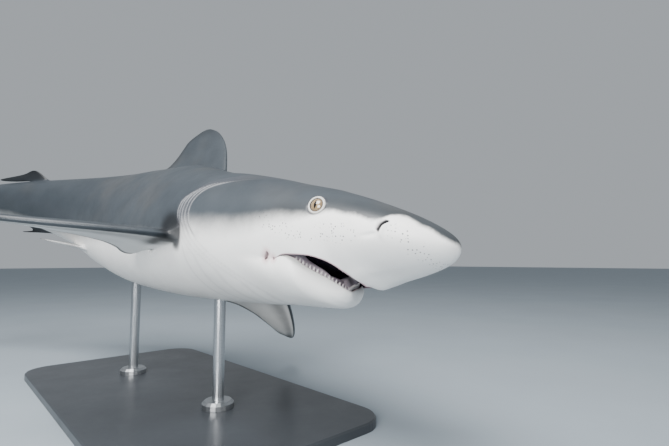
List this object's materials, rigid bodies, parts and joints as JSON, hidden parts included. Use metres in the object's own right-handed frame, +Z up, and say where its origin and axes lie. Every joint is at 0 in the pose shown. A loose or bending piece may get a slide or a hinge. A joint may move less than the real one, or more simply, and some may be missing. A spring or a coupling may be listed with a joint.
{
  "type": "silky shark museum model",
  "caption": "Life-size model of a silky shark turning as it swims, mouth slightly open, held over a flat board by short rods.",
  "frame": {"origin": "middle of the display board's underside, on the floor", "axes": "+X the way the shark's head points, +Y towards its left side, +Z up; the tail swings towards -Y"},
  "size_m": [1.663, 0.9671, 0.7347],
  "materials": {
    "skin": "satin painted resin, grey back and white belly",
    "mouth": "moist dark mauve",
    "teeth": "glossy ivory white",
    "eye": "glossy, pale gold with a dark slit",
    "stand_board": "satin dark grey lacquer",
    "stand_steel": "brushed"
  },
  "bodies": {
    "root": {"head": "skin", "lower_jaw": "skin", "trunk": "skin", "tail_stem": "skin", "caudal_upper_lobe": "skin", "caudal_lower_lobe": "skin", "first_dorsal_fin": "skin", "second_dorsal_fin": "skin", "anal_fin": "skin", "pectoral_fin_left": "skin", "pectoral_fin_right": "skin", "pelvic_fin_left": "skin", "pelvic_fin_right": "skin", "eye_left": "eye", "eye_right": "eye", "stand_base": "stand_board", "stand_rod_front": "stand_steel", "stand_rod_rear": "stand_steel", "stand_socket_front": "stand_steel", "stand_socket_rear": "stand_steel"}
  },
  "joints": []
}
